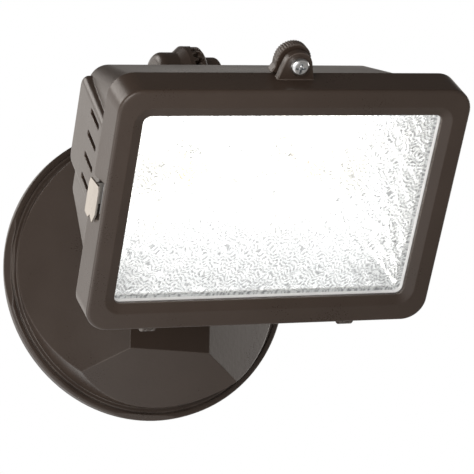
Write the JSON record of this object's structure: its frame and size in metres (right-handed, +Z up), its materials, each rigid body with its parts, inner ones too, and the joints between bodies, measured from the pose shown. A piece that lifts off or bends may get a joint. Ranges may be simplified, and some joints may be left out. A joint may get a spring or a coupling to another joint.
{
  "type": "flood light",
  "caption": "Wall flood light: round hipped canopy, swivel arm with a toothed knuckle, and a rectangular die-cast head with a hinged door round pebbled glass.",
  "frame": {"origin": "centre of the canopy on the wall plane", "axes": "+Z up, +Y into the wall, -Y out of the wall towards the viewer, +X to the viewer's right"},
  "size_m": [0.1501, 0.1936, 0.1484],
  "materials": {
    "bronze_coat": "bronze powder coat on a die casting, satin",
    "closed_cell_foam": "closed-cell foam",
    "black_rubber": "moulded rubber",
    "silicone": "moulded silicone, dark",
    "zinc_steel": "zinc plated",
    "green_steel": "green zinc plated",
    "bright_aluminium": "bright anodised, dimpled",
    "lamp_quartz": "clear quartz",
    "white_ceramic": "unglazed, matte",
    "brass_contact": "plain",
    "stainless_spring": "stainless spring strip",
    "pebbled_glass": "tempered, pebbled inside",
    "chrome_screw": "polished",
    "nylon": "natural nylon"
  },
  "bodies": {
    "canopy_base": {"canopy": "bronze_coat", "canopy_gasket": "closed_cell_foam", "mounting_strap": "zinc_steel", "canopy_screws": "zinc_steel", "ground_screw": "green_steel"},
    "arm": {"arm": "bronze_coat", "arm_seal": "black_rubber", "arm_locknut": "zinc_steel", "knuckle_bolt": "zinc_steel", "knuckle_nut": "zinc_steel", "knuckle_washer": "zinc_steel"},
    "head": {"housing": "bronze_coat", "reflector": "bright_aluminium", "reflector_screws": "zinc_steel", "lamp_tube": "lamp_quartz", "lamp_caps": "white_ceramic", "lampholders": "white_ceramic", "lampholder_contacts": "brass_contact", "lampholder_brackets": "zinc_steel", "bracket_screws": "zinc_steel", "side_clip_left": "stainless_spring", "side_clip_right": "stainless_spring"},
    "door": {"door_frame": "bronze_coat", "lens_gasket": "silicone", "glass_lens": "pebbled_glass", "lens_clips": "stainless_spring", "hinge_pins": "stainless_spring", "screw_retainer": "nylon"},
    "screw": {"door_screw": "chrome_screw"}
  },
  "joints": [
    {"name": "arm_swivel", "type": "hinge", "parent": "canopy_base", "child": "arm", "pos_m": [0, 0, 0], "axis": [0, 1, 0], "range_deg": [-169, 181]},
    {"name": "head_tilt", "type": "hinge", "parent": "arm", "child": "head", "pos_m": [-0.00715, -0.0762, 0.06803], "axis": [0.9945, 0, 0.1045], "range_deg": [-60, 20]},
    {"name": "door_hinge", "type": "hinge", "parent": "head", "child": "door", "pos_m": [0.0038, -0.11624, -0.03614], "axis": [0.9945, 0, 0.1045], "range_deg": [0, 100]},
    {"name": "door_screw_slide", "type": "slide", "parent": "door", "child": "screw", "axis": [0.0672, -0.766, -0.6393], "range_m": [0, 0.007]}
  ]
}
